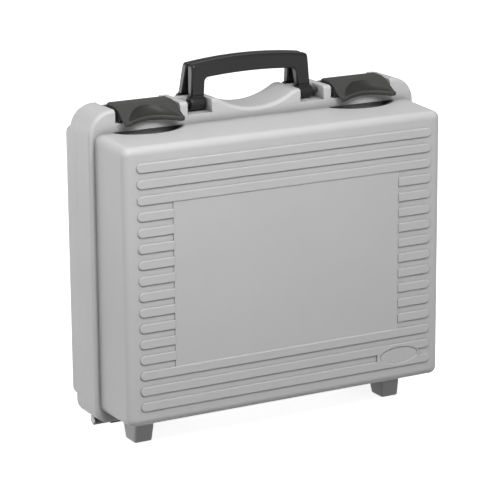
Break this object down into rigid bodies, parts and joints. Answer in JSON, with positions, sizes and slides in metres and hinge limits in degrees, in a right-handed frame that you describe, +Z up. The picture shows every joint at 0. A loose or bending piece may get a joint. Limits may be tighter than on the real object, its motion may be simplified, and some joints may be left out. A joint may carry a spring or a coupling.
{
  "type": "hard tool case",
  "caption": "Hinged plastic tool case: deep ribbed front shell, shallow back shell, two lever latches, carrying handle in two halves, steel hinges and feet.",
  "frame": {"origin": "on the floor under the centre of the closed case, standing on its feet", "axes": "+Z up, front face with the label panel towards -Y, +X to the right seen from the front"},
  "size_m": [0.326, 0.123, 0.327],
  "materials": {
    "shell": "light grey moulded plastic, fine grain",
    "foot": "light grey moulded plastic",
    "handle": "black moulded plastic, satin",
    "latch": "dark grey moulded plastic, satin",
    "pin": "drawn steel wire",
    "keeper": "zinc plated sheet",
    "screw": "zinc plated",
    "hinge": "black coated sheet steel",
    "rivet": "black coated steel"
  },
  "bodies": {
    "front": {"front_shell": "shell", "keeper_screws": "screw", "front_hinge_rivets": "rivet", "front_foot_left": "foot", "front_foot_right": "foot", "front_handle_pin_left": "pin", "front_handle_pin_right": "pin", "latch_keeper_left": "keeper", "latch_keeper_right": "keeper", "front_hinge_leaf_left": "hinge", "front_hinge_leaf_right": "hinge", "hinge_pin_left": "pin", "hinge_pin_right": "pin"},
    "back": {"back_shell": "shell", "back_hinge_rivets": "rivet", "back_foot_left": "foot", "back_foot_right": "foot", "back_handle_pin_left": "pin", "back_handle_pin_right": "pin", "latch_pin_left": "pin", "latch_pin_right": "pin", "back_hinge_leaf_left": "hinge", "back_hinge_leaf_right": "hinge"},
    "front_handle": {"front_handle": "handle"},
    "back_handle": {"back_handle": "handle"},
    "latch_left": {"latch_left": "latch"},
    "latch_right": {"latch_right": "latch"}
  },
  "joints": [
    {"name": "lid_hinge", "type": "hinge", "parent": "front", "child": "back", "pos_m": [0, 0.0225, 0.0103], "axis": [-1, 0, 0], "range_deg": [0, 140]},
    {"name": "front_handle_pivot", "type": "hinge", "parent": "front", "child": "front_handle", "pos_m": [0, 0.0079, 0.2889], "axis": [1, 0, 0], "range_deg": [0, 105]},
    {"name": "back_handle_pivot", "type": "hinge", "parent": "back", "child": "back_handle", "pos_m": [0, 0.0289, 0.2889], "axis": [-1, 0, 0], "range_deg": [0, 105]},
    {"name": "latch_left_pivot", "type": "hinge", "parent": "back", "child": "latch_left", "pos_m": [-0.107, 0.0284, 0.288], "axis": [-1, 0, 0], "range_deg": [0, 95]},
    {"name": "latch_right_pivot", "type": "hinge", "parent": "back", "child": "latch_right", "pos_m": [0.107, 0.0284, 0.288], "axis": [-1, 0, 0], "range_deg": [0, 95]}
  ]
}
